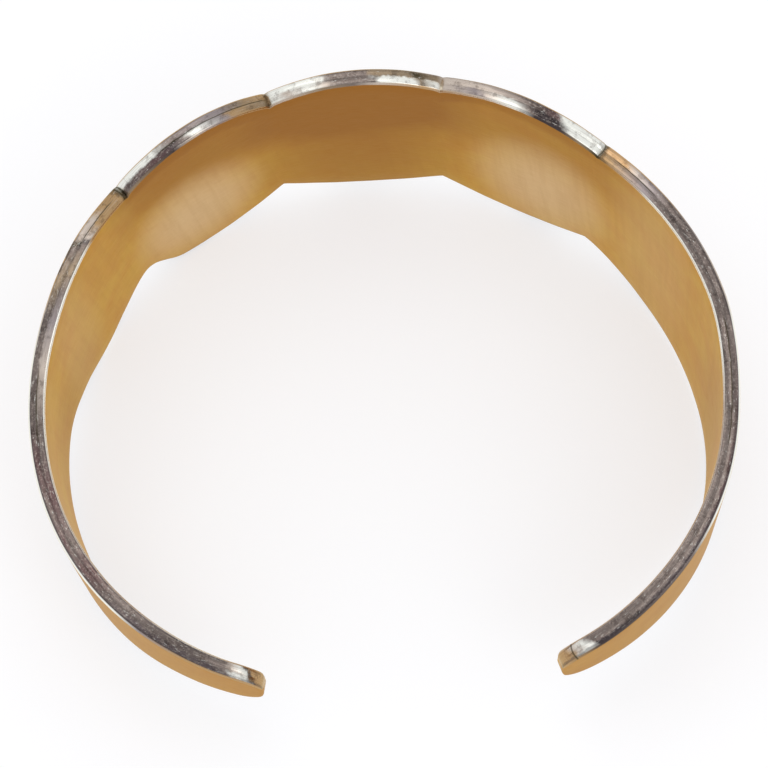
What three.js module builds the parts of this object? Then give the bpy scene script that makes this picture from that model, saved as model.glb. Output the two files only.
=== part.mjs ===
// A hand-cut metal cuff bracelet, lying on its side. Millimetres, +Z up, the
// scalloped front towards +Y and the gap between its ends towards -Y.
//
// The band is two sheets soldered face to face, so it is one solid. It is
// drawn flat first, as its maker cut it: three lobes across the front, parted
// by filed notches, then a long shank that narrows to a rounded tip on each
// side. It is then bent round a wrist, most sharply at the notches, where the
// metal is weakest. Its two sides were cut by hand and differ a little.

import * as THREE from 'three';

// Driving sizes of the metal.
const METAL_THICKNESS = 1.5; // both sheets together
const EDGE_ROUND = 0.3; // rounding of the long edges
const SEAM_WIDTH = 0.16; // fine groove where the two sheets meet
const SEAM_DEPTH = 0.1;

// Driving sizes of the flat outline.
const FRONT_WIDTH = 24.8; // across the middle lobe
const RIGHT_LENGTH = 76.1; // from the middle of the front to the right tip
const LEFT_LENGTH = 78.3;
const TIP_CORNER = 2.4; // corner radius of the tips, in the sheet

// Driving radii of the bend, at the middle of the metal.
const FRONT_RADIUS = 48; // the lobes stay flatter than the rest
const SHANK_RADIUS = 30.4;
const WRIST_RADIUS = 23.3; // the last stretch, which closes round the wrist
const CREASE_LENGTH = 1.6; // stretch over which the band creases at a notch

// Fineness of the faceted solid.
const STATION_STEP = 1.25;
const TIP_STATIONS = 6;
const CORNER_STEPS = 2;

// The bend of each side, from the middle of the front to the tip. A stretch
// ends at a share of the side's length, and a crease there turns the band by
// some degrees more.
const RIGHT_BEND = [
  { until: 0.0925, radius: FRONT_RADIUS, crease: 11 },
  { until: 0.298, radius: 1.14 * FRONT_RADIUS, crease: 6.5 },
  { until: 0.57, radius: SHANK_RADIUS, crease: 0 },
  { until: 1, radius: WRIST_RADIUS, crease: 0 },
];
const LEFT_BEND = [
  { until: 0.111, radius: FRONT_RADIUS, crease: 14.5 },
  { until: 0.307, radius: 1.66 * FRONT_RADIUS, crease: 16 },
  { until: 0.504, radius: 1.375 * SHANK_RADIUS, crease: 0 },
  { until: 1, radius: WRIST_RADIUS, crease: 0 },
];

// The outline of each side, for its upper and its lower edge, which were cut
// by eye and differ: where along it, as a share of its length, and how far
// from the middle line, as a share of half the front's width. The lower edge
// of the left side was filed round at its outer notch.
const RIGHT_OUTLINE = {
  upper: {
    innerNotch: { at: 0.0925, width: 0.888 },
    sideLobe: { width: 1.036 },
    outerNotch: { at: 0.298, width: 0.9 },
    shank: [
      { at: 0.525, width: 1.056 },
      { at: 0.646, width: 0.698 },
      { at: 0.84, width: 0.573 },
      { at: 1, width: 0.285 },
    ],
  },
  lower: {
    innerNotch: { at: 0.0925, width: 0.86 },
    sideLobe: { width: 1.065 },
    outerNotch: { at: 0.2914, width: 0.887 },
    shank: [
      { at: 0.42, width: 1.08 },
      { at: 0.5, width: 1.06 },
      { at: 0.6, width: 0.98 },
      { at: 0.7, width: 0.83 },
      { at: 0.867, width: 0.495 },
      { at: 1, width: 0.27 },
    ],
  },
};
const LEFT_OUTLINE = {
  upper: {
    innerNotch: { at: 0.111, width: 0.818 },
    sideLobe: { width: 1.015 },
    outerNotch: { at: 0.307, width: 0.785 },
    shank: [
      { at: 0.39, width: 0.895 },
      { at: 0.649, width: 0.561 },
      { at: 0.842, width: 0.535 },
      { at: 1, width: 0.28 },
    ],
  },
  lower: {
    innerNotch: { at: 0.111, width: 0.792 },
    sideLobe: { width: 1.027 },
    outerNotch: { at: 0.262, width: 1.025 },
    shank: [
      { at: 0.27, width: 0.99 },
      { at: 0.284, width: 0.895 },
      { at: 0.299, width: 0.81 },
      { at: 0.32, width: 0.775 },
      { at: 0.37, width: 0.893 },
      { at: 0.409, width: 0.955 },
      { at: 0.485, width: 0.785 },
      { at: 0.55, width: 0.67 },
      { at: 0.7, width: 0.68 },
      { at: 0.82, width: 0.56 },
      { at: 0.9, width: 0.37 },
      { at: 1, width: 0.27 },
    ],
  },
};

// A smooth curve through points of rising x that never overshoots them.
function smoothThrough(points) {
  const slope = points.slice(1).map((p, i) => (p.y - points[i].y) / (p.x - points[i].x));
  const tangent = points.map((p, i) => {
    const before = slope[i - 1];
    const after = slope[i];
    if (before === undefined) return after;
    if (after === undefined) return before;
    return before * after <= 0 ? 0 : (2 * before * after) / (before + after);
  });
  return (x) => {
    let i = points.findIndex((p) => p.x >= x) - 1;
    if (i < 0) i = x <= points[0].x ? 0 : points.length - 2;
    const span = points[i + 1].x - points[i].x;
    const t = THREE.MathUtils.clamp((x - points[i].x) / span, 0, 1);
    const rise = points[i + 1].y - points[i].y;
    const bulge = (tangent[i] * (1 - t) - tangent[i + 1] * t) * span + rise * (2 * t - 1);
    return points[i].y + rise * t + t * (1 - t) * bulge;
  };
}

// A lobe's half width is a shallow arch from one notch to the next.
function arch(x, from, to, startWidth, crownWidth, endWidth) {
  const t = (x - from) / (to - from);
  const base = startWidth * (1 - t) + endWidth * t;
  return base + (crownWidth - (startWidth + endWidth) / 2) * 4 * t * (1 - t);
}

// How far an edge is from the middle line, at a distance from the middle of
// the front.
function halfWidthOf(edge, length) {
  const half = (share) => (share * FRONT_WIDTH) / 2;
  const inner = edge.innerNotch.at * length;
  const outer = edge.outerNotch.at * length;
  const innerWidth = half(edge.innerNotch.width);
  const outerWidth = half(edge.outerNotch.width);
  const shank = smoothThrough([
    { x: outer, y: outerWidth },
    ...edge.shank.map((row) => ({ x: row.at * length, y: half(row.width) })),
  ]);
  return (along) => {
    if (along <= inner) return arch(along, -inner, inner, innerWidth, half(1), innerWidth);
    if (along <= outer) {
      return arch(along, inner, outer, innerWidth, half(edge.sideLobe.width), outerWidth);
    }
    return shank(along);
  };
}

// How far a round corner of a radius pulls in, at a distance before its end.
function pullIn(radius, before) {
  if (before >= radius) return 0;
  return radius - Math.sqrt(Math.max(radius * radius - (radius - before) ** 2, 0));
}

// Distances along a side at which the band gets a section.
function stationsOf(bend, outline, length) {
  const marks = [0, length - TIP_CORNER];
  for (const { innerNotch, outerNotch } of [outline.upper, outline.lower]) {
    marks.push(innerNotch.at * length, outerNotch.at * length);
  }
  for (const { until, crease } of bend) {
    if (until === 1) continue;
    const end = until * length;
    marks.push(...(crease ? [end - CREASE_LENGTH / 2, end, end + CREASE_LENGTH / 2] : [end]));
  }
  marks.sort((a, b) => a - b);
  const stations = [0];
  for (let i = 1; i < marks.length; i++) {
    const steps = Math.ceil((marks[i] - marks[i - 1]) / STATION_STEP);
    for (let k = 1; k <= steps; k++) {
      stations.push(THREE.MathUtils.lerp(marks[i - 1], marks[i], k / steps));
    }
  }
  for (let k = 1; k <= TIP_STATIONS; k++) {
    stations.push(length - TIP_CORNER * (1 - Math.sin((k / TIP_STATIONS) * (Math.PI / 2))));
  }
  return stations;
}

// The bend's heading, in radians turned away from +X, at a distance along.
function headingOf(bend, length) {
  const points = [{ x: 0, y: 0 }];
  const advance = (to, turn) => {
    points.push({ x: to, y: points.at(-1).y + turn });
  };
  bend.forEach((stretch, i) => {
    const creased = stretch.crease ? CREASE_LENGTH / 2 : 0;
    const end = stretch.until * length;
    const next = bend[i + 1];
    advance(end - creased, (end - creased - points.at(-1).x) / stretch.radius);
    if (creased) {
      const bow = creased / stretch.radius + creased / next.radius;
      advance(end + creased, bow + THREE.MathUtils.degToRad(stretch.crease));
    }
  });
  return (along) => {
    const i = Math.max(points.findIndex((p) => p.x >= along), 1);
    const t = (along - points[i - 1].x) / (points[i].x - points[i - 1].x);
    return THREE.MathUtils.lerp(points[i - 1].y, points[i].y, t);
  };
}

// One section of the band: a rounded rectangle in (outward, up), with a fine
// groove where the sheets meet, anticlockwise as seen from behind the section.
function sectionOf(halfThickness, upperHalf, lowerHalf) {
  const points = [];
  const corner = (signOut, signUp, startAngle) => {
    const out = signOut * (halfThickness - EDGE_ROUND);
    const up = signUp > 0 ? upperHalf - EDGE_ROUND : EDGE_ROUND - lowerHalf;
    for (let k = 0; k <= CORNER_STEPS; k++) {
      const angle = startAngle + (k / CORNER_STEPS) * (Math.PI / 2);
      points.push([out + EDGE_ROUND * Math.cos(angle), up + EDGE_ROUND * Math.sin(angle)]);
    }
  };
  const seam = (sign, half) => {
    points.push([sign * (SEAM_WIDTH / 2), sign * half]);
    points.push([0, sign * (half - SEAM_DEPTH)]);
    points.push([-sign * (SEAM_WIDTH / 2), sign * half]);
  };
  corner(1, 1, 0);
  seam(1, upperHalf);
  corner(-1, 1, Math.PI / 2);
  corner(-1, -1, Math.PI);
  seam(-1, lowerHalf);
  corner(1, -1, 1.5 * Math.PI);
  return points;
}

// Sections of one side from the middle of the front outwards, as points in
// space. The hand is 1 for the right side and -1 for the left one.
function sideSections(hand, bend, outline, length) {
  const heading = headingOf(bend, length);
  const upperHalf = halfWidthOf(outline.upper, length);
  const lowerHalf = halfWidthOf(outline.lower, length);
  const centre = new THREE.Vector2();
  let last = 0;
  return stationsOf(bend, outline, length).map((along) => {
    const middle = heading((along + last) / 2);
    centre.x += Math.cos(middle) * (along - last);
    centre.y -= Math.sin(middle) * (along - last);
    last = along;
    const turn = heading(along);
    const outward = new THREE.Vector2(Math.sin(turn), Math.cos(turn));
    const left = length - along;
    const edgeEnd = pullIn(EDGE_ROUND, left);
    const halfOut = METAL_THICKNESS / 2 - edgeEnd * (1 - EDGE_ROUND / METAL_THICKNESS);
    const cut = pullIn(TIP_CORNER, left);
    return sectionOf(halfOut, upperHalf(along) - cut, lowerHalf(along) - cut).map(
      ([out, z]) => new THREE.Vector3(hand * (centre.x + outward.x * out), centre.y + outward.y * out, z),
    );
  });
}

// The closed skin over a row of sections that have as many points each.
function skinOver(sections) {
  const ring = sections[0].length;
  const faces = [];
  for (let i = 0; i + 1 < sections.length; i++) {
    for (let k = 0; k < ring; k++) {
      const a = i * ring + k;
      const b = i * ring + ((k + 1) % ring);
      faces.push(a, b, a + ring, b, b + ring, a + ring);
    }
  }
  const whole = sectionOf(METAL_THICKNESS / 2, FRONT_WIDTH / 2, FRONT_WIDTH / 2);
  const flat = whole.map(([x, y]) => new THREE.Vector2(x, y));
  const lid = THREE.ShapeUtils.triangulateShape(flat, []);
  const lastRing = (sections.length - 1) * ring;
  for (const [a, b, c] of lid) {
    faces.push(a, c, b, lastRing + a, lastRing + b, lastRing + c);
  }
  const geometry = new THREE.BufferGeometry();
  const positions = sections.flat().flatMap((p) => [p.x, p.y, p.z]);
  geometry.setAttribute('position', new THREE.Float32BufferAttribute(positions, 3));
  geometry.setIndex(faces);
  geometry.computeVertexNormals();
  return geometry;
}

// The centre of mass of a closed skin, summed over its triangles.
function centreOfMass(geometry) {
  const position = geometry.getAttribute('position');
  const corner = (i) => new THREE.Vector3().fromBufferAttribute(position, geometry.index.getX(i));
  const sum = new THREE.Vector3();
  let volume = 0;
  for (let i = 0; i < geometry.index.count; i += 3) {
    const [a, b, c] = [corner(i), corner(i + 1), corner(i + 2)];
    const part = a.dot(new THREE.Vector3().crossVectors(b, c)) / 6;
    volume += part;
    sum.addScaledVector(a.add(b).add(c), part / 4);
  }
  return sum.divideScalar(volume);
}

// The three lowest points that a solid rests on, and the table's direction up
// from them: of all planes under the solid, the highest one below its centre
// of mass. Starting from a triangle round that centre, the point that lies
// furthest below the plane takes the place of one corner, until none does.
function tableUnder(geometry) {
  const position = geometry.getAttribute('position');
  const points = [];
  for (let i = 0; i < position.count; i++) {
    points.push(new THREE.Vector3().fromBufferAttribute(position, i));
  }
  const centre = centreOfMass(geometry);
  const far = 1000 * METAL_THICKNESS;
  let feet = [90, 210, 330].map((degrees) => {
    const angle = THREE.MathUtils.degToRad(degrees);
    return new THREE.Vector3(far * Math.cos(angle), far * Math.sin(angle), far).add(centre);
  });
  const upOf = ([a, b, c]) => {
    const up = new THREE.Vector3().crossVectors(b.clone().sub(a), c.clone().sub(a)).normalize();
    return up.z < 0 ? up.negate() : up;
  };
  const holdsCentre = ([a, b, c]) => {
    const side = (p, q) => (q.x - p.x) * (centre.y - p.y) - (q.y - p.y) * (centre.x - p.x);
    const sides = [side(a, b), side(b, c), side(c, a)];
    return sides.every((s) => s >= 0) || sides.every((s) => s <= 0);
  };
  for (let round = 0; round < points.length; round++) {
    const up = upOf(feet);
    const height = (p) => p.clone().sub(feet[0]).dot(up);
    const lowest = points.reduce((low, p) => (height(p) < height(low) ? p : low));
    if (height(lowest) > -1e-7) break;
    const choices = feet.map((_, i) => feet.map((foot, k) => (k === i ? lowest : foot)));
    feet = choices.find(holdsCentre);
  }
  return upOf(feet);
}

// The band, bent but not yet laid down. Its left side runs towards the middle
// and its right side away from it.
function bandGeometry() {
  const right = sideSections(1, RIGHT_BEND, RIGHT_OUTLINE, RIGHT_LENGTH);
  const left = sideSections(-1, LEFT_BEND, LEFT_OUTLINE, LEFT_LENGTH);
  return skinOver([...left.reverse(), ...right.slice(1)]);
}

const silver = new THREE.MeshStandardMaterial({ color: 0xb98f5a, roughness: 0.38, metalness: 0.9 });
const band = new THREE.Mesh(bandGeometry(), silver);
band.name = 'cuff_band';

// The cuff lies on its lower edge, as it comes to rest by itself.
const lying = new THREE.Group();
lying.add(band);
lying.quaternion.setFromUnitVectors(tableUnder(band.geometry), new THREE.Vector3(0, 0, 1));

const cuff = new THREE.Group();
cuff.add(lying);
cuff.updateMatrixWorld(true);
const box = new THREE.Box3().setFromObject(cuff, true);
const middle = box.getCenter(new THREE.Vector3());
lying.position.set(-middle.x, -middle.y, -box.min.z);

export default cuff;
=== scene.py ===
import math

import bpy
import numpy as np
from mathutils import Matrix, Vector


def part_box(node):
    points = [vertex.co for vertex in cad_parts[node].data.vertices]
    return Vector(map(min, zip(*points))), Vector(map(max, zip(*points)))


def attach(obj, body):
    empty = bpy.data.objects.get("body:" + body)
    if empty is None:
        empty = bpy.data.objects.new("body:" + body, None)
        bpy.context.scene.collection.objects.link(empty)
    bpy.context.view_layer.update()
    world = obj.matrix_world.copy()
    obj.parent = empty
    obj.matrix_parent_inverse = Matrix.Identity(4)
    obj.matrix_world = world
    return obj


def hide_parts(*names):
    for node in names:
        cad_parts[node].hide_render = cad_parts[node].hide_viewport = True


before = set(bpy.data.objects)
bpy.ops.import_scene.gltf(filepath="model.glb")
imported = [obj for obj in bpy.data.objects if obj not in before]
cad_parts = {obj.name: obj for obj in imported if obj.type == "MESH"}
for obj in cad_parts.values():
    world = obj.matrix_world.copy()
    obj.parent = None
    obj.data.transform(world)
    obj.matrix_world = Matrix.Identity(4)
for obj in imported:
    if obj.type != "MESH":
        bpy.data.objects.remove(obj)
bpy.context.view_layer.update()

# %% [markdown]
# A hand-made cuff of two silver sheets, soldered face to face. Its maker saws a flat blank with three lobes
# across the front, files notches between them, and bends the blank round a steel former. The cuff lies on
# its side and is seen from above. The frame holds its plain solid. Here the same blank is drawn finer, with
# its filed cuts and the seam of the two sheets, is bent the same way, and gets its worn and stained finish,
# with painted highlights, painted reflections and painted shade.
# Blender counts in metres, so each length of the metal is written as a number of MM.

# %% Units and the metal
MM = 0.001
METAL = 1.5 * MM
EDGE_ROUND = 0.3 * MM
SEAM_WIDTH = 0.06 * MM
SEAM_DEPTH = 0.015 * MM

# %% [markdown]
# The camera comes first, so that every look at the work is from the photograph's place. It is a long lens,
# high over the side with the gap and a little askew, and it aims at the middle of the hollow.

# %% Camera
AIM = Vector((0, 0.37, 12)) * MM
CAMERA_DISTANCE = 261.5 * MM
ELEVATION = math.radians(67.89)
SWING = math.radians(1.99)
ROLL = math.radians(-0.54)
LENS = 135.9
SENSOR = 36

towards_camera = Vector((-math.sin(SWING) * math.cos(ELEVATION),
                         -math.cos(SWING) * math.cos(ELEVATION),
                         math.sin(ELEVATION)))
bpy.ops.object.camera_add(location=AIM + towards_camera * CAMERA_DISTANCE)
camera = bpy.context.object
camera.rotation_euler = (
    towards_camera.to_track_quat("Z", "Y") @ Matrix.Rotation(ROLL, 3, "Z").to_quaternion()
).to_euler()
camera.data.lens = LENS
camera.data.sensor_width = SENSOR
camera.data.clip_start = 0.01
bpy.context.scene.camera = camera
print("camera stands at, in mm:", [round(v / MM, 1) for v in camera.location])

# %% [markdown]
# The flat blank is drawn first, as its maker drew it. Each side runs from the middle of the front to its
# tip: half the middle lobe, a notch, a side lobe, a notch, and the long shank. The two sides and their two
# edges were cut by eye and differ a little, so each edge has its own short table. It holds places as shares
# of the side's length, and distances from the middle line as shares of half the front's width. The lower
# edge of the left side is filed round where its side lobe meets the shank. A hand-sawn line is never quite
# true, so each edge also wavers by a hair.

# %% The flat outline
FRONT_WIDTH = 24.8 * MM
RIGHT_LENGTH = 76.1 * MM
LEFT_LENGTH = 78.3 * MM
TIP_CORNER = 2.4 * MM
FILE_CUT = 0.1 * MM
FILE_CUT_REACH = 0.3 * MM
WAVER = 0.03 * MM
WAVER_LONG = 1.7 * MM
WAVER_SHORT = 0.61 * MM

RIGHT_OUTLINE = {
    "upper": {
        "inner notch": (0.0925, 0.888),
        "side lobe": 1.036,
        "outer notch": (0.298, 0.9),
        "shank": [(0.525, 1.056), (0.646, 0.698), (0.84, 0.573), (1, 0.285)],
    },
    "lower": {
        "inner notch": (0.0925, 0.86),
        "side lobe": 1.065,
        "outer notch": (0.2914, 0.887),
        "shank": [(0.42, 1.08), (0.5, 1.06), (0.6, 0.98), (0.7, 0.83), (0.867, 0.495), (1, 0.27)],
    },
}
LEFT_OUTLINE = {
    "upper": {
        "inner notch": (0.111, 0.818),
        "side lobe": 1.015,
        "outer notch": (0.307, 0.785),
        "shank": [(0.39, 0.895), (0.649, 0.561), (0.842, 0.535), (1, 0.28)],
    },
    "lower": {
        "inner notch": (0.111, 0.792),
        "side lobe": 1.027,
        "outer notch": (0.262, 1.025),
        "shank": [
            (0.27, 0.99), (0.284, 0.895), (0.299, 0.81), (0.32, 0.775), (0.37, 0.893), (0.409, 0.955),
            (0.485, 0.785), (0.55, 0.67), (0.7, 0.68), (0.82, 0.56), (0.9, 0.37), (1, 0.27),
        ],
    },
}


def smooth_through(points, x):
    """A smooth curve through points that never overshoots them, at each x."""
    px, py = (np.array(column, dtype=float) for column in zip(*points))
    slope = np.diff(py) / np.diff(px)
    before, after = slope[:-1], slope[1:]
    same_way = before * after > 0
    total = np.where(same_way, before + after, 1)
    inner = np.where(same_way, 2 * before * after / total, 0)
    tangent = np.concatenate([slope[:1], inner, slope[-1:]])
    i = np.clip(np.searchsorted(px, x) - 1, 0, len(px) - 2)
    span = px[i + 1] - px[i]
    t = np.clip((x - px[i]) / span, 0, 1)
    rise = py[i + 1] - py[i]
    bulge = (tangent[i] * (1 - t) - tangent[i + 1] * t) * span + rise * (2 * t - 1)
    return py[i] + rise * t + t * (1 - t) * bulge


def arch(x, start, end, start_width, crown_width, end_width):
    """Half the width of a lobe: a shallow arch from one notch to the next."""
    t = (x - start) / (end - start)
    base = start_width * (1 - t) + end_width * t
    return base + (crown_width - (start_width + end_width) / 2) * 4 * t * (1 - t)


def half_width(edge, length, x):
    """How far an edge is from the middle line, at distances x from the middle of the front."""
    half_front = FRONT_WIDTH / 2
    inner, inner_half = edge["inner notch"][0] * length, edge["inner notch"][1] * half_front
    outer, outer_half = edge["outer notch"][0] * length, edge["outer notch"][1] * half_front
    shank = [(outer, outer_half)] + [(at * length, width * half_front) for at, width in edge["shank"]]
    middle_lobe = arch(x, -inner, inner, inner_half, half_front, inner_half)
    side_lobe = arch(x, inner, outer, inner_half, edge["side lobe"] * half_front, outer_half)
    half = np.where(x <= inner, middle_lobe, np.where(x <= outer, side_lobe, smooth_through(shank, x)))
    return half + WAVER * (np.sin(x / WAVER_LONG) + np.sin(x / WAVER_SHORT + 2)) / 2


def notches(outline, length):
    """Where the two notches of a side's upper edge are, from the middle of the front."""
    return [outline["upper"][name][0] * length for name in ("inner notch", "outer notch")]


def file_cuts(outline, length, x):
    """How deep the file's fine V cuts go into the upper edge, at distances x."""
    nearness = [1 - abs(x - notch) / FILE_CUT_REACH for notch in notches(outline, length)]
    return FILE_CUT * sum(np.clip(near, 0, 1) for near in nearness)


lobe_middle = sum(notches(RIGHT_OUTLINE, RIGHT_LENGTH)) / 2
lobe_edges = [half_width(RIGHT_OUTLINE[edge], RIGHT_LENGTH, lobe_middle) for edge in ("upper", "lower")]
print("width of the right side lobe in mm:", round(float(sum(lobe_edges)) / MM, 2))

# %% [markdown]
# The bend is stated like the outline, in stretches from the middle of the front to each tip. The metal is
# weakest at the notches, so it creases there by some degrees more, and the lobes between stay flatter.

# %% The bend
CREASE_LENGTH = 1.6 * MM
FRONT_RADIUS = 48 * MM
SHANK_RADIUS = 30.4 * MM
WRIST_RADIUS = 23.3 * MM
RIGHT_BEND = [
    (0.0925, FRONT_RADIUS, 11),
    (0.298, 1.14 * FRONT_RADIUS, 6.5),
    (0.57, SHANK_RADIUS, 0),
    (1, WRIST_RADIUS, 0),
]
LEFT_BEND = [
    (0.111, FRONT_RADIUS, 14.5),
    (0.307, 1.66 * FRONT_RADIUS, 16),
    (0.504, 1.375 * SHANK_RADIUS, 0),
    (1, WRIST_RADIUS, 0),
]


def headings(bend, length, x):
    """How far the band has turned, in radians, at distances x from the middle of the front."""
    marks, turns = [0], [0]
    for i, (until, radius, crease) in enumerate(bend):
        creased = CREASE_LENGTH / 2 if crease else 0
        end = until * length
        turns.append(turns[-1] + (end - creased - marks[-1]) / radius)
        marks.append(end - creased)
        if crease:
            next_radius = bend[i + 1][1]
            turns.append(turns[-1] + creased / radius + creased / next_radius + math.radians(crease))
            marks.append(end + creased)
    return np.interp(x, marks, turns)


def walk(bend, length, steps):
    """Points of the middle line of one side, walked in short steps from the middle of the front."""
    x = np.linspace(0, length, steps + 1)
    turn = headings(bend, length, (x[1:] + x[:-1]) / 2)
    step = length / steps
    across = np.concatenate([[0], np.cumsum(np.cos(turn)) * step])
    back = np.concatenate([[0], np.cumsum(-np.sin(turn)) * step])
    return np.column_stack([across, back])


PATH_STEPS = 600
right_path = walk(RIGHT_BEND, RIGHT_LENGTH, PATH_STEPS)
left_path = walk(LEFT_BEND, LEFT_LENGTH, PATH_STEPS) * (-1, 1)
path = np.concatenate([left_path[::-1], right_path[1:]])
print("the gap between the tips in mm:", round((right_path[-1, 0] - left_path[-1, 0]) / MM, 1))

# %% [markdown]
# The blank could be a flat face that is extruded and bevelled, but the tiny faces at its round tips spoil a
# bevel. So a sheet of faces is rolled round the blank like a sleeve: its columns are the stations along the
# band, close together at the notches and the tips, and its rows go once round the section, with the rounded
# edges and the groove of the seam. The open ends are then filled.

# %% Stations along the blank
STATION_STEP = 0.4 * MM
FINE_STEP = 0.1 * MM
FINE_REACH = 0.5 * MM
TIP_STATIONS = 10
TIP_THINNING = 0.8


def stations(outline, length):
    """Distances of the stations of one side from the middle of the front."""
    marks = []
    for notch in notches(outline, length):
        marks += list(np.arange(notch - FINE_REACH, notch + FINE_REACH + FINE_STEP / 2, FINE_STEP))
    coarse = np.arange(0, length - TIP_CORNER, STATION_STEP)
    coarse = [x for x in coarse if all(abs(x - mark) > FINE_STEP for mark in marks)]
    quarter = np.linspace(0, math.pi / 2, TIP_STATIONS)
    tip = length - TIP_CORNER * (1 - np.sin(quarter))
    return np.array(sorted(list(coarse) + marks) + list(tip))


def pull_in(radius, before_end):
    """How far a round corner pulls in at a distance before its end."""
    reach = np.clip(radius - before_end, 0, radius)
    return radius - np.sqrt(radius**2 - reach**2)


right_x = stations(RIGHT_OUTLINE, RIGHT_LENGTH)
left_x = stations(LEFT_OUTLINE, LEFT_LENGTH)
along = np.concatenate([-left_x[::-1], right_x[1:]])
before_end = np.concatenate([(LEFT_LENGTH - left_x)[::-1], (RIGHT_LENGTH - right_x)[1:]])
end_cut = pull_in(TIP_CORNER, before_end)
half_up, half_down = (
    np.concatenate([half_width(LEFT_OUTLINE[edge], LEFT_LENGTH, left_x)[::-1],
                    half_width(RIGHT_OUTLINE[edge], RIGHT_LENGTH, right_x)[1:]]) - end_cut
    for edge in ("upper", "lower")
)
half_up = half_up - np.concatenate([file_cuts(LEFT_OUTLINE, LEFT_LENGTH, left_x)[::-1],
                                    file_cuts(RIGHT_OUTLINE, RIGHT_LENGTH, right_x)[1:]])
half_out = METAL / 2 - TIP_THINNING * pull_in(EDGE_ROUND, before_end)
print("stations along the blank:", len(along))

# %% The section, once round
CORNER_STEPS = 5
FACE_STEPS = 12
SEAM_PROFILE = ((1, 0), (0.5, 0.6), (0, 1), (-0.5, 0.6), (-1, 0))


def section():
    """Rows of (side out, side up, rounding out, rounding up, share of the face, seam across, seam depth)."""
    rows = []

    def corner(side_out, side_up, start):
        for k in range(CORNER_STEPS + 1):
            angle = start + math.pi / 2 * k / CORNER_STEPS
            rows.append((side_out, side_up, math.cos(angle), math.sin(angle), 1, 0, 0))

    def seam(side):
        for across, depth in SEAM_PROFILE:
            rows.append((0, side, 0, side, 1, side * across, side * depth))

    def face(side_out):
        for k in range(1, FACE_STEPS):
            rows.append((side_out, 1, side_out, 0, side_out * (2 * k / FACE_STEPS - 1), 0, 0))

    corner(1, 1, 0)
    seam(1)
    corner(-1, 1, math.pi / 2)
    face(-1)
    corner(-1, -1, math.pi)
    seam(-1)
    corner(1, -1, 1.5 * math.pi)
    face(1)
    return np.array(rows)


ring = section()
print("points round the section:", len(ring))

# %% Roll the sheet of faces into the blank
WELD = 0.001 * MM
bpy.ops.object.select_all(action="DESELECT")
bpy.ops.mesh.primitive_grid_add(x_subdivisions=len(along) - 1, y_subdivisions=len(ring), size=2)
band = bpy.context.object
band.name = "cuff_metal"
band.data.name = band.name

flat = np.empty(len(band.data.vertices) * 3)
band.data.vertices.foreach_get("co", flat)
flat = flat.reshape(-1, 3)
column = np.rint((flat[:, 0] + 1) / 2 * (len(along) - 1)).astype(int)
row = np.rint((flat[:, 1] + 1) / 2 * len(ring)).astype(int) % len(ring)

side_out, side_up, round_out, round_up, share, seam_across, seam_depth = ring[row].T
out = side_out * (half_out[column] - EDGE_ROUND) + round_out * EDGE_ROUND
out = out + seam_across * SEAM_WIDTH / 2
top, bottom = half_up[column] - EDGE_ROUND, EDGE_ROUND - half_down[column]
on_face = (top + bottom) / 2 + share * (top - bottom) / 2
up = np.where(abs(share) < 1, on_face, np.where(side_up > 0, top, bottom) + round_up * EDGE_ROUND)
up = up - seam_depth * SEAM_DEPTH
rolled = np.column_stack([along[column] + LEFT_LENGTH, out, up])
band.data.vertices.foreach_set("co", rolled.ravel())

bpy.ops.object.mode_set(mode="EDIT")
bpy.ops.mesh.select_all(action="SELECT")
bpy.ops.mesh.remove_doubles(threshold=WELD)
bpy.ops.mesh.select_all(action="DESELECT")
bpy.ops.mesh.select_non_manifold(extend=False)
bpy.ops.mesh.edge_face_add()
bpy.ops.mesh.select_all(action="SELECT")
bpy.ops.mesh.normals_make_consistent(inside=False)
bpy.ops.object.mode_set(mode="OBJECT")
print("faces of the blank:", len(band.data.polygons))

# %% [markdown]
# The finish is fixed to the metal: the maker's file and years of wear left grey and stained stretches at
# certain places of the edge, and highlights and reflections of a warm room are painted on it as bright and
# tan stretches. So each face corner keeps where it lies on the flat blank, in millimetres, before anything is
# bent.
# One map holds the distance along the band and across it, and the other the place through the metal and the
# depth in from the edge.

# %% Keep each corner's place on the blank
corner_vertex = np.empty(len(band.data.loops), dtype=int)
band.data.loops.foreach_get("vertex_index", corner_vertex)
flat = np.empty(len(band.data.vertices) * 3)
band.data.vertices.foreach_get("co", flat)
blank_x, through, across = flat.reshape(-1, 3).T
blank_along = blank_x - LEFT_LENGTH
upper_edge = np.interp(blank_along, along, half_up)
lower_edge = np.interp(blank_along, along, half_down)
depth = np.where(across > 0, upper_edge, lower_edge) - abs(across)

for name, pair in {"blank": (blank_along, across), "edge": (through, depth)}.items():
    layer = band.data.uv_layers.new(name=name)
    values = np.column_stack(pair)[corner_vertex] / MM
    layer.data.foreach_set("uv", values.astype(np.float32).ravel())
print("maps on the blank:", [layer.name for layer in band.data.uv_layers])

# %% [markdown]
# A smith bends the blank round a former. A Curve modifier does the same: it lays the blank's length along
# the middle line that was walked above, and keeps its thickness and its width square to that line.

# %% Bend the blank
middle_line = bpy.data.curves.new("middle_line", "CURVE")
middle_line.dimensions = "2D"
spline = middle_line.splines.new("POLY")
spline.points.add(len(path) - 1)
spline.points.foreach_set("co", np.column_stack([path, np.zeros(len(path)), np.ones(len(path))]).ravel())
former = bpy.data.objects.new("former", middle_line)
bpy.context.collection.objects.link(former)

bpy.context.view_layer.objects.active = band
bend = band.modifiers.new("bend", "CURVE")
bend.object = former
bend.deform_axis = "POS_X"
bpy.ops.object.modifier_apply(modifier=bend.name)
bpy.data.objects.remove(former)
print("bent band in mm:", [round(size / MM, 2) for size in band.dimensions])

# %% [markdown]
# A cuff whose edge isn't straight can't lie quite level: it rests on the three places of its lower edge that
# stand out most. The frame's solid already lies so. All its broad faces are parallel to one line, the
# cuff's own axis, so that line is found from their normals, and the bent band is turned to it.

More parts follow.
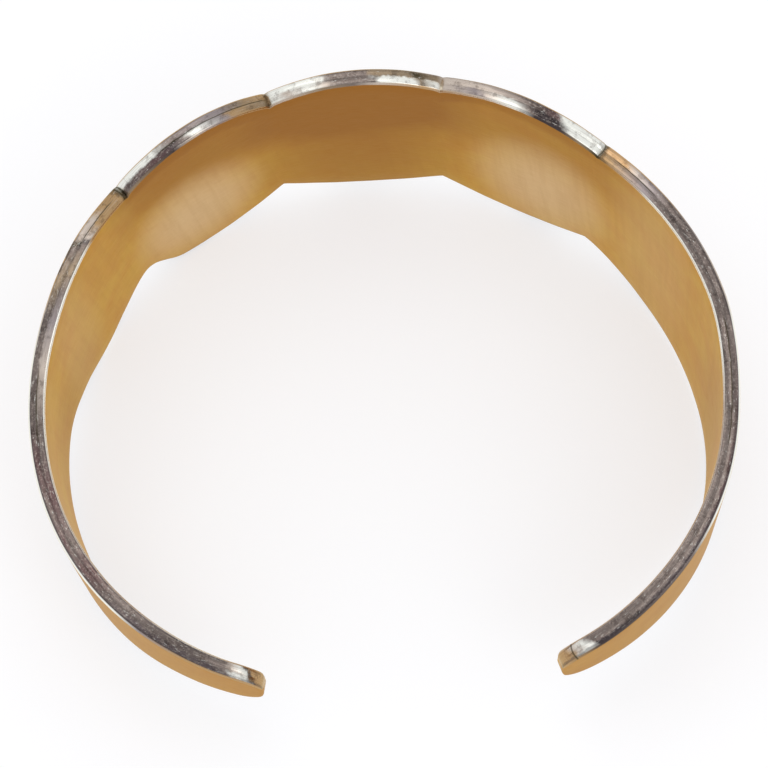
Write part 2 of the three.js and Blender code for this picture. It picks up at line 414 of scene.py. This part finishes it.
# %% Find the cuff's axis
BROAD = 1 * MM**2
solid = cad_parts["cuff_band"]
normals = np.array([face.normal[:] for face in solid.data.polygons if face.area > BROAD])
cuff_axis = Vector(np.linalg.svd(normals, full_matrices=False)[2][2])
if cuff_axis.z < 0:
    cuff_axis.negate()
print("the cuff leans, in degrees:", round(math.degrees(cuff_axis.angle(Vector((0, 0, 1)))), 2))

# %% Lay the band down where the frame's solid lies
SMOOTH_UP_TO = math.radians(40)


def middle_of(low, high):
    """The middle of a box as seen from above."""
    return (low[:2] + high[:2]) / 2


bpy.ops.object.select_all(action="DESELECT")
band.select_set(True)
band.rotation_mode = "QUATERNION"
band.rotation_quaternion = Vector((0, 0, 1)).rotation_difference(cuff_axis)
bpy.ops.object.transform_apply(location=False, rotation=True, scale=True)

corners = np.array([vertex.co[:] for vertex in band.data.vertices])
low, high = corners.min(axis=0), corners.max(axis=0)
solid_low, solid_high = (np.array(corner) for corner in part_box("cuff_band"))
band.location = np.append(middle_of(solid_low, solid_high) - middle_of(low, high), solid_low[2] - low[2])
bpy.ops.object.transform_apply(location=True, rotation=False, scale=False)
bpy.ops.object.shade_smooth_by_angle(angle=SMOOTH_UP_TO)
print("band off the solid's top, in mm:", round((high[2] - low[2] - solid_high[2] + solid_low[2]) / MM, 3))

# %% [markdown]
# The finish is written as sums on shader sockets. One small class wraps a socket, so that + - * / make the
# Math nodes, and one method makes any other node.

# %% Shader sums
class Shade:
    """A shader socket that takes part in Python sums."""

    def __init__(self, tree, socket):
        self.tree = tree
        self.socket = socket

    def made(self, kind, settings, inputs, output=0):
        """A new node's output. Settings are set first, then the values or links of its sockets."""
        node = self.tree.nodes.new(kind)
        for name, value in settings.items():
            if name == "stops":
                set_stops(node.color_ramp, value)
            else:
                setattr(node, name, value)
        for name, value in inputs.items():
            if isinstance(value, Shade):
                self.tree.links.new(value.socket, node.inputs[name])
            else:
                node.inputs[name].default_value = value
        return Shade(self.tree, node.outputs[output])

    def sum_with(self, operation, first, second, clamp=False):
        settings = {"operation": operation, "use_clamp": clamp}
        return self.made("ShaderNodeMath", settings, {0: first, 1: second})

    def __add__(self, other):
        return self.sum_with("ADD", self, other)

    __radd__ = __add__

    def __sub__(self, other):
        return self.sum_with("SUBTRACT", self, other)

    def __rsub__(self, other):
        return self.sum_with("SUBTRACT", other, self)

    def __mul__(self, other):
        return self.sum_with("MULTIPLY", self, other)

    __rmul__ = __mul__

    def __truediv__(self, other):
        return self.sum_with("DIVIDE", self, other)

    def __abs__(self):
        return self.sum_with("ABSOLUTE", self, 0)

    def clamped(self):
        return self.sum_with("ADD", self, 0, clamp=True)

    def rise(self, start, end):
        """0 up to start, 1 from end on, and smooth between. It falls instead where end is below start."""
        low, high, at_low, at_high = (start, end, 0, 1) if start < end else (end, start, 1, 0)
        inputs = {"Value": self, "From Min": low, "From Max": high, "To Min": at_low, "To Max": at_high}
        return self.made("ShaderNodeMapRange", {"interpolation_type": "SMOOTHSTEP"}, inputs)

    def between(self, start, end, outside, inside):
        """1 from start to end and 0 elsewhere. Its ends are soft that far outside and inside."""
        return self.rise(start - outside, start + inside) * self.rise(end + outside, end - inside)

    def noise(self, place, scale, detail=3, roughness=0.5, distortion=0):
        """A noise between about 0.3 and 0.7."""
        return self.made("ShaderNodeTexNoise", {"noise_dimensions": "3D"},
                         {"Vector": place, "Scale": scale, "Detail": detail, "Roughness": roughness,
                          "Distortion": distortion})

    def place(self, x, y, z=0):
        return self.made("ShaderNodeCombineXYZ", {}, {"X": x, "Y": y, "Z": z})

    def mixed(self, share, first, second, blend="MIX"):
        """Colour first, and second where share is 1."""
        return self.made("ShaderNodeMix", {"data_type": "RGBA", "blend_type": blend},
                         {"Factor": share, 6: first, 7: second}, output=2)


def set_stops(ramp, stops):
    """Gives a new colour ramp its stops, as (place, colour)."""
    while len(ramp.elements) > 1:
        ramp.elements.remove(ramp.elements[-1])
    ramp.elements[0].position, ramp.elements[0].color = stops[0]
    for position, color in stops[1:]:
        ramp.elements.new(position).color = color


def tone(hex_color):
    """A colour as a painter names it, #rrggbb, as the linear numbers that a shader needs."""
    channels = [int(hex_color[i:i + 2], 16) / 255 for i in (1, 3, 5)]
    return tuple(c / 12.92 if c <= 0.04045 else ((c + 0.055) / 1.055) ** 2.4 for c in channels) + (1,)


# %% [markdown]
# The edge of an old cuff is a record of its making and its wear. Near the notches it was filed, and its
# bright stretches there and at the tips are painted highlights. Along the shanks it is scratched and dark
# with tarnish, and the solder's heat left plum and slate stains. Its tan and gold stretches are painted
# reflections of a warm room. The tables below name a colour for places along the edge, in millimetres from
# the middle of the front, for its outer and its inner half and for its two rounded corners.

# %% The stains, painted highlights and painted reflections of the edge
STAINS_AND_PAINTED_LIGHT = {
    "bright": tone("#f4f3ea"),
    "pale": tone("#c8baad"),
    "lilac": tone("#998e8d"),
    "grey": tone("#7a6e68"),
    "smoke": tone("#625854"),
    "plum": tone("#634d4c"),
    "slate": tone("#5c5252"),
    "soot": tone("#463e3f"),
    "tan": tone("#b5946b"),
    "gold_reflection": tone("#c8a277"),
    "olive": tone("#3f3824"),
    "moss": tone("#94816a"),
}
# Bright and pale stops are painted highlights, tan and gold ones painted reflections, the rest stains.
OUTER_HALF = (
    [
        (-78.3, "tan"), (-77.4, "tan"), (-77.1, "soot"), (-76.8, "bright"), (-75.8, "bright"),
        (-75, "grey"), (-74, "slate"), (-66, "slate"), (-63, "smoke"), (-60, "plum"), (-58.6, "grey"),
        (-57, "plum"), (-54.5, "grey"), (-50, "plum"), (-46, "smoke"), (-40, "grey"), (-37, "smoke"),
        (-34, "moss"), (-31, "grey"), (-30.4, "olive"), (-30, "pale"), (-27.6, "pale"), (-26.5, "tan"),
        (-24.7, "tan"), (-24.3, "olive"), (-23.9, "bright"), (-20, "bright"), (-18.6, "grey"),
        (-13, "lilac"), (-11, "moss"), (-9, "tan"),
    ],
    [
        (-9, "tan"), (-8.7, "moss"), (-8.3, "bright"), (-3.8, "bright"), (-2.8, "grey"), (0.6, "grey"),
        (1.1, "moss"), (4.4, "moss"), (4.8, "olive"), (6.7, "moss"), (7.2, "pale"), (10, "pale"),
        (15, "grey"), (16.2, "smoke"), (18.2, "plum"), (18.9, "bright"), (22.5, "bright"),
        (22.8, "olive"), (23.2, "gold_reflection"), (25.4, "gold_reflection"), (26.4, "pale"), (28.6, "lilac"),
        (30.4, "grey"), (32, "smoke"), (44, "grey"), (56, "plum"), (61, "slate"), (73.3, "soot"),
        (73.6, "bright"), (74.9, "bright"), (75.2, "tan"), (76.1, "tan"),
    ],
)
INNER_HALF = (
    [
        (-78.3, "tan"), (-77.4, "tan"), (-77.2, "soot"), (-76.9, "bright"), (-76, "pale"),
        (-75, "grey"), (-72, "smoke"), (-64, "grey"), (-61, "plum"), (-58, "grey"), (-53, "plum"),
        (-49, "smoke"), (-46.5, "grey"), (-42, "pale"), (-38, "lilac"), (-35, "grey"), (-33, "moss"),
        (-30.7, "grey"), (-30.2, "soot"), (-29.6, "pale"), (-28, "tan"), (-24.8, "tan"),
        (-24.3, "olive"), (-23.8, "grey"), (-20.5, "plum"), (-18.6, "soot"), (-17.2, "grey"),
        (-16.4, "bright"), (-13.4, "lilac"), (-12.7, "tan"), (-9, "moss"),
    ],
    [
        (-9, "moss"), (-8.7, "moss"), (-8.2, "bright"), (-7, "pale"), (-5, "bright"), (-3.4, "pale"),
        (-2.6, "grey"), (0.6, "grey"), (1.1, "bright"), (4.4, "bright"), (4.9, "moss"), (6.8, "bright"),
        (7.3, "pale"), (10.4, "lilac"), (11.2, "pale"), (13.5, "bright"), (15.3, "grey"),
        (16.2, "soot"), (18.4, "soot"), (19.2, "bright"), (22.5, "bright"), (22.8, "olive"),
        (23.2, "tan"), (27.6, "lilac"), (29.5, "grey"), (31, "smoke"), (52, "grey"), (73.2, "grey"),
        (73.7, "bright"), (74.9, "pale"), (75.2, "tan"), (76.1, "tan"),
    ],
)
# The corners' bright and pale lines are painted highlights, and their tan and gold lines painted reflections.
OUTER_CORNER = (
    [
        (-78.3, "tan"), (-71, "tan"), (-67, "lilac"), (-64, "bright"), (-41, "bright"), (-37, "pale"),
        (-34, "tan"), (-25, "tan"), (-24.3, "olive"), (-23.9, "pale"), (-20, "tan"), (-9, "tan"),
    ],
    [
        (-9, "tan"), (-8.7, "moss"), (-8.3, "pale"), (-3, "tan"), (4, "moss"), (7.2, "lilac"),
        (18, "tan"), (22.5, "pale"), (22.8, "olive"), (23.2, "gold_reflection"), (28, "tan"), (34, "lilac"),
        (40, "pale"), (43, "bright"), (59, "bright"), (63, "grey"), (73, "soot"), (76.1, "tan"),
    ],
)
INNER_CORNER = (
    [
        (-78.3, "tan"), (-73, "bright"), (-66, "pale"), (-47, "bright"), (-31.5, "bright"),
        (-30, "tan"), (-25, "tan"), (-24.3, "olive"), (-23.8, "moss"), (-19, "soot"), (-16.5, "pale"),
        (-14, "lilac"), (-12, "tan"), (-9, "tan"),
    ],
    [
        (-9, "tan"), (-8.7, "moss"), (-8.2, "pale"), (-4, "moss"), (-1, "grey"), (1, "pale"),
        (5, "tan"), (11, "pale"), (13.5, "bright"), (15.5, "soot"), (18.4, "soot"), (20, "moss"),
        (22.8, "olive"), (23.4, "tan"), (27, "pale"), (29, "bright"), (44, "bright"), (48, "pale"),
        (74, "pale"), (76.1, "tan"),
    ],
)
print("stains named along the edge:", sum(len(part) for table in (OUTER_HALF, INNER_HALF) for part in table))

# %% [markdown]
# One material covers the whole band, as the real one is one piece of metal. Its sums start from the two maps,
# which give the distance along the band and across it, the place through the metal and the depth in from the
# edge, all in millimetres. The noises lie on the first three, so they follow the band round its bend.

# %% The four numbers that the finish reads
# One material for wear, stains, painted highlights, painted reflections and painted shade.
metal = bpy.data.materials.new("silver_wear_and_painted_light")
metal.use_nodes = True
tree = metal.node_tree
surface = tree.nodes["Principled BSDF"]
paint = Shade(tree, None)


def map_pair(name):
    """The two numbers that a map of the band holds, in millimetres."""
    uv = paint.made("ShaderNodeUVMap", {"uv_map": name}, {})
    first = uv.made("ShaderNodeSeparateXYZ", {}, {"Vector": uv})
    return first, Shade(tree, first.socket.node.outputs[1])


along_mm, across_mm = map_pair("blank")
through_mm, depth_mm = map_pair("edge")
on_metal = paint.place(along_mm, across_mm, through_mm)
print("the finish reads the maps:", [node.uv_map for node in tree.nodes if node.type == "UVMAP"])

# %% [markdown]
# The stains and the painted highlights and reflections are colour ramps along the edge. A ramp holds 32
# colours at most, so each table is in two parts, which meet at a notch. Real stains and highlights don't end
# along a straight line, so a noise moves their ends, and they run a little slanted through the metal. At the
# notches, where the file cut them off, they stay sharp.

# %% Let the stains and the painted highlights wander
STAIN_AND_HIGHLIGHT_WANDER = 1.6
SLANT = 0.7
CALM = 0.3
CALM_REACH = 1.2
NOTCHES_MM = [-notch / MM for notch in notches(LEFT_OUTLINE, LEFT_LENGTH)]
NOTCHES_MM += [notch / MM for notch in notches(RIGHT_OUTLINE, RIGHT_LENGTH)]

calm = 1
for notch in NOTCHES_MM:
    calm = abs(along_mm - notch).rise(CALM, CALM_REACH) * calm
stain_and_highlight_noise = paint.noise(on_metal, scale=1.1, detail=5, roughness=0.65)
wander = ((stain_and_highlight_noise - 0.5) * STAIN_AND_HIGHLIGHT_WANDER + through_mm * SLANT) * calm
print("notches of the upper edge, in mm:", [round(notch, 1) for notch in NOTCHES_MM])

# %% Stain the two halves of the edge and paint their highlights and reflections
HALVES_WANDER = 0.6
HALVES_BLUR = 0.14
INNER_SHARE = 0.3
PARTS_BLUR = 0.01


def stains_and_painted_light(tables):
    """The stains, painted highlights and painted reflections of a table along the edge, as a colour."""
    colors = []
    for rows in tables:
        first, last = rows[0][0], rows[-1][0]
        stops = [((at - first) / (last - first), STAINS_AND_PAINTED_LIGHT[name]) for at, name in rows]
        share = (along_mm + wander - first) / (last - first)
        colors.append(paint.made("ShaderNodeValToRGB", {"stops": stops}, {"Fac": share}))
    meeting = tables[1][0][0]
    return paint.mixed(along_mm.rise(meeting - PARTS_BLUR, meeting + PARTS_BLUR), *colors)


past_middle = INNER_SHARE * along_mm.rise(29, 36) + INNER_SHARE / 2 * along_mm.rise(-48, -56)
halves_noise = paint.noise(on_metal, scale=1.6, detail=4, roughness=0.6)
outwards = through_mm + (halves_noise - 0.5) * HALVES_WANDER - past_middle
inner_half = outwards.rise(HALVES_BLUR, -HALVES_BLUR)
edge_color = paint.mixed(inner_half, stains_and_painted_light(OUTER_HALF), stains_and_painted_light(INNER_HALF))
print("colours of the longest ramp:", max(len(part) for table in (OUTER_HALF, INNER_HALF) for part in table))

# %% [markdown]
# Wear comes on top of the stains. The whole edge is mottled, and rubbed along its length. Where it is dark,
# the metal shines through in flecks and in slanting scratches. A line of tarnish runs along the outer side of
# both shanks. Each of these is a layer: a mask, how strong it is, its stain, and how it is mixed in.

# %% Wear the edge
SCRATCH_ON_DARK = 0.42
SCRATCH_EVERYWHERE = 0.12

scratch_place = paint.place(along_mm * 0.5 + through_mm, through_mm * 2.4 - along_mm * 0.35, across_mm * 0.1)
scratches = paint.noise(scratch_place, scale=3.2, detail=5, roughness=0.65).rise(0.58, 0.7)
long_place = paint.place(along_mm * 0.3, through_mm * 6, 0)
burnish = paint.noise(long_place, scale=1.5, detail=4, roughness=0.6)
flecks = paint.noise(on_metal, scale=5.5, detail=2, roughness=0.5)
mottle = paint.noise(on_metal, scale=1.2, detail=5, roughness=0.65)
darkness = paint.made("ShaderNodeRGBToBW", {}, {"Color": edge_color}).rise(0.32, 0.1)
on_shanks = along_mm.rise(31, 40) + along_mm.rise(-46, -52)
tarnish_line = (through_mm + (mottle - 0.5) * 0.5).rise(0.3, 0.48) * on_shanks

wear_layers = [
    (mottle.rise(0.5, 0.36), 0.42, "grey", "MULTIPLY"),
    (burnish.rise(0.5, 0.36), 0.3, "lilac", "MULTIPLY"),
    (flecks.rise(0.5, 0.68) * darkness, 0.2, "pale", "LIGHTEN"),
    (scratches * (darkness * SCRATCH_ON_DARK + SCRATCH_EVERYWHERE), 1, "bright", "LIGHTEN"),
    (burnish.rise(0.56, 0.7), 0.3, "pale", "LIGHTEN"),
    (tarnish_line, 0.55, "soot", "MIX"),
]
for mask, strength, stain, blend in wear_layers:
    edge_color = paint.mixed(mask * strength, edge_color, STAINS_AND_PAINTED_LIGHT[stain], blend=blend)
print("layers of wear:", len(wear_layers))

# %% The painted highlights, painted reflections and stains of its two rounded corners
CORNER_STARTS = 0.56
CORNER_FULL = 0.63
for side, table in {1: OUTER_CORNER, -1: INNER_CORNER}.items():
    on_corner = (through_mm * side).rise(CORNER_STARTS, CORNER_FULL)
    edge_color = paint.mixed(on_corner, edge_color, stains_and_painted_light(table))
print("a corner starts this far from the face, in mm:", round(METAL / MM / 2 - CORNER_STARTS, 2))

# %% [markdown]
# Three kinds of dark line are left. The file left fine lines across the edge, two soot marks sit on its outer
# corner, and the seam of the two sheets shows only here and there, where it wasn't rubbed full. A line is the
# distance from a place, turned into a narrow band, and a stretch is a range of the distance along the band.

# %% Draw the lines of the edge
FILE_LINES = [-24.3, -23.98, 22.8, 75]
FILE_LINE_BOW = 0.3
SOOT_MARKS = [(-33.6, -32.6), (-32, -30.4)]
SEAM_SHOWS = [(-48, -42), (-30, -25.5), (-19.5, -9), (24.2, 29), (42, 52)]
SEAM_WAVER = 0.12
FILE_LINE_STRENGTH = 0.75
SOOT_STRENGTH = 0.85
SEAM_STRENGTH = 0.8

bowed = along_mm + through_mm * through_mm * FILE_LINE_BOW
file_lines = 0
for at in FILE_LINES:
    file_lines = file_lines + abs(bowed - at).rise(0.1, 0.03)
soot_marks = 0
for first, last in SOOT_MARKS:
    soot_marks = soot_marks + along_mm.between(first, last, 0.2, 0.1)
seam_shows = 0
for first, last in SEAM_SHOWS:
    seam_shows = seam_shows + along_mm.between(first, last, 0.5, 0.5)
seam_line = abs(through_mm + (paint.noise(on_metal, scale=1.2, detail=3) - 0.5) * SEAM_WAVER)

edge_color = paint.mixed(file_lines * FILE_LINE_STRENGTH, edge_color, STAINS_AND_PAINTED_LIGHT["olive"])
soot_marks = soot_marks * through_mm.rise(0.56, 0.62)
edge_color = paint.mixed(soot_marks * SOOT_STRENGTH, edge_color, STAINS_AND_PAINTED_LIGHT["soot"])
seam_shows = seam_shows * seam_line.rise(0.07, 0.02) * depth_mm.rise(0.3, 0.2)
edge_color = paint.mixed(seam_shows * SEAM_STRENGTH, edge_color, STAINS_AND_PAINTED_LIGHT["olive"])
print("file lines and soot marks:", len(FILE_LINES), len(SOOT_MARKS))

# %% [markdown]
# The broad faces are satin silver. Their warm gold is a painted reflection of a warm room. They have painted
# shade over the upper half of the front and under its upper edge, and paler painted reflections in the bowl
# of both side lobes and along the shanks. The darker and the paler places are soft ovals on the blank, each
# with its place, its reach and its strength.

# %% Tones of the broad faces
# The gold of these tones is a painted reflection of a warm room on silver. The darkest is painted shade, and
# the palest a paler painted reflection.
FACE_TONES = {
    "satin": tone("#c89c3a"),
    "shaded": tone("#9b6422"),
    "painted_sheen": tone("#d9bc94"),
    "red": tone("#c48f34"),
    "outside": tone("#b07718"),
}
# Ovals of painted shade, each (at along, at across, reach along, reach across, strength), the first four in
# mm.
SHADED_OVALS = [
    (-1, 0, 11, 22, 0.85), (-17, 9, 9, 8, 0.3), (-42, -6, 9, 7, 0.35), (47, -3, 6, 12, 0.4),
    (27, 8, 6, 6, 0.2),
]
# Ovals of paler painted reflection, in the bowls of the side lobes and along the shanks.
PAINTED_SHEEN_OVALS = [
    (-18, -4.5, 6.8, 8.5, 1), (17.5, -4, 7, 10, 0.95), (-36, 0, 4, 14, 0.25), (31, 0, 6, 18, 0.3),
]
OVAL_RIM = 1.6
OVAL_CORE = -0.4


def oval(at_along, at_across, reach_along, reach_across, strength):
    """A soft oval of the broad face: nearly its strength in the middle, and 0 outside it."""
    x = (along_mm - at_along) / reach_along
    y = (across_mm - at_across) / reach_across
    return (x * x + y * y).rise(OVAL_RIM, OVAL_CORE) * strength


print("ovals on the faces:", len(SHADED_OVALS) + len(PAINTED_SHEEN_OVALS))

# %% The broad faces
GRAIN_STRENGTH = 0.25
BRUSHING_INSIDE = 0.12
BRUSHING_OUTSIDE = 0.15
OUTSIDE_CLOUDS = 0.3

clouds = paint.noise(on_metal, scale=0.16, detail=5, roughness=0.55, distortion=0.4)
grain = paint.noise(paint.place(along_mm * 0.4, across_mm * 3, 0), scale=1.6, detail=4, roughness=0.6)
brush_place = paint.place(along_mm * 0.9 + across_mm * 0.1, across_mm * 0.06, 0)
brushing = paint.noise(brush_place, scale=1.2, detail=5, roughness=0.7).rise(0.4, 0.65)

across_wavy = across_mm + (clouds - 0.5) * 4
under_edge = depth_mm + (paint.noise(on_metal, scale=0.3, detail=2) - 0.5) * 2
front = along_mm.rise(-29, -22) * along_mm.rise(30, 18)
# Painted shade: darker over the upper half of the front, and in a band under its upper edge.
shade = front * across_wavy.rise(-2, 6) * 0.55
shade = shade + front * under_edge.rise(2.6, 1.2) * across_mm.rise(0, 3) * 0.3
for shaded_oval in SHADED_OVALS:
    shade = shade + oval(*shaded_oval)

# The faces' gold is a painted reflection of a warm room; the clouds vary its tone.
face_color = paint.mixed(clouds.rise(0.35, 0.68), FACE_TONES["satin"], FACE_TONES["red"])
# The painted shade takes the darkest tone.
face_color = paint.mixed(shade.clamped(), face_color, FACE_TONES["shaded"])
# Paler painted reflections in the bowls of the side lobes and along the shanks.
for painted_sheen_oval in PAINTED_SHEEN_OVALS:
    face_color = paint.mixed(oval(*painted_sheen_oval), face_color, FACE_TONES["painted_sheen"])
face_color = paint.mixed((grain - 0.35).clamped() * GRAIN_STRENGTH, face_color, FACE_TONES["shaded"])
face_color = paint.mixed(brushing * BRUSHING_INSIDE, face_color, FACE_TONES["shaded"])
outside_clouds = clouds.rise(0.2, 0.8) * OUTSIDE_CLOUDS
# The outer face's gold is a painted reflection too.
outside = paint.mixed(outside_clouds, FACE_TONES["outside"], FACE_TONES["satin"])
outside = paint.mixed(brushing * BRUSHING_OUTSIDE, outside, FACE_TONES["shaded"])
face_color = paint.mixed(through_mm.rise(0, 0.2), face_color, outside)
print("nodes so far:", len(tree.nodes))

# %% [markdown]
# The edge meets the faces where the metal's corner starts to round, along a line that isn't quite even. The
# edge is polished in places and the faces are satin, so their roughness differs too. The shallow dents of the
# mallet and the marks of the file are hundredths of a millimetre deep, so they are bump and not shape. The
# faces' gold is a painted reflection; gold keeps its colour at a low angle better than plain metal shading
# does, so the shader's tint is a pale gold to go with it.

# %% Join the edge and the faces
FACE_ROUGHNESS = 0.42
EDGE_ROUGHNESS = 0.28
LOW_ANGLE_TINT = tone("#fff6dd")
DENT_HEIGHT = 0.35
FILE_MARK_HEIGHT = 0.03
GRAIN_HEIGHT = 0.006

meeting_noise = paint.noise(on_metal, scale=2.2, detail=3)
on_edge = (depth_mm + (meeting_noise - 0.5) * 0.12).rise(0.34, 0.2)
color = paint.mixed(on_edge, face_color, edge_color)
edge_roughness = EDGE_ROUGHNESS + (mottle - 0.5) * 0.3 + scratches * 0.1
face_roughness = FACE_ROUGHNESS + (grain - 0.5) * 0.16
roughness = on_edge * edge_roughness + (1 - on_edge) * face_roughness

dents = paint.noise(on_metal, scale=0.45, detail=3, roughness=0.5) * DENT_HEIGHT
file_marks = paint.noise(scratch_place, scale=3.6, detail=4, roughness=0.6) * FILE_MARK_HEIGHT * on_edge
relief = dents + file_marks + grain * GRAIN_HEIGHT
bump = paint.made("ShaderNodeBump", {}, {"Strength": 0.35, "Distance": 0.2 * MM, "Height": relief})

tree.links.new(color.socket, surface.inputs["Base Color"])
tree.links.new(roughness.socket, surface.inputs["Roughness"])
tree.links.new(bump.socket, surface.inputs["Normal"])
surface.inputs["Metallic"].default_value = 1
surface.inputs["Specular Tint"].default_value = LOW_ANGLE_TINT
band.data.materials.append(metal)
print("nodes in the finish:", len(tree.nodes))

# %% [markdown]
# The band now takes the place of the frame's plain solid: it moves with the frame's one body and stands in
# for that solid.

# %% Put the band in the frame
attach(band, "root")
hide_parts("cuff_band")
print("in the frame:", band.name)

# %% [markdown]
# The room is a pale table that glows a little, as a photographer's light table does, so the cuff's shadow on
# it stays faint. Polished metal shows what is round it, so the room itself is an even, pale grey light. Two
# weak and wide lamps over it add soft highlights to the edge and to the bowls of the lobes.

# %% Table
TABLE_SIZE = 3
TABLE_GLOW = 0.62
bpy.ops.mesh.primitive_plane_add(size=TABLE_SIZE, location=(0, 0, 0))
table = bpy.context.object
table.name = "pale_table"
paper = bpy.data.materials.new("pale_paper")
paper.use_nodes = True
paper_surface = paper.node_tree.nodes["Principled BSDF"]
paper_surface.inputs["Base Color"].default_value = tone("#a8a8a8")
paper_surface.inputs["Roughness"].default_value = 0.9
paper_surface.inputs["Emission Color"].default_value = tone("#fdfdff")
paper_surface.inputs["Emission Strength"].default_value = TABLE_GLOW
table.data.materials.append(paper)
print("table's side in m:", TABLE_SIZE)

# %% Lights
WORLD_STRENGTH = 1
world = bpy.data.worlds.new("soft_room")
bpy.context.scene.world = world
world.use_nodes = True
world.node_tree.nodes["Background"].inputs["Color"].default_value = tone("#f2f4f7")
world.node_tree.nodes["Background"].inputs["Strength"].default_value = WORLD_STRENGTH


def softbox(name, place, aim, size, watts):
    """A square area light at a place, turned to its aim, in metres."""
    bpy.ops.object.light_add(type="AREA", location=place)
    lamp = bpy.context.object
    lamp.name = name
    lamp.data.size = size
    lamp.data.energy = watts
    lamp.rotation_euler = (Vector(place) - Vector(aim)).to_track_quat("Z", "Y").to_euler()


softbox("overhead_box", place=(-0.15, 0.1, 0.6), aim=(0, 0, 0), size=0.45, watts=0.5)
softbox("front_box", place=(0.3, -0.4, 0.45), aim=(0, 0, 0), size=0.3, watts=0.4)

# %% [markdown]
# Blender's usual view softens bright colours, as film does. A product photograph has a plain white ground, so
# the Standard view is used, which shows each colour as it was chosen.

# %% Plain colours
bpy.context.scene.view_settings.view_transform = "Standard"
print("view:", bpy.context.scene.view_settings.view_transform)
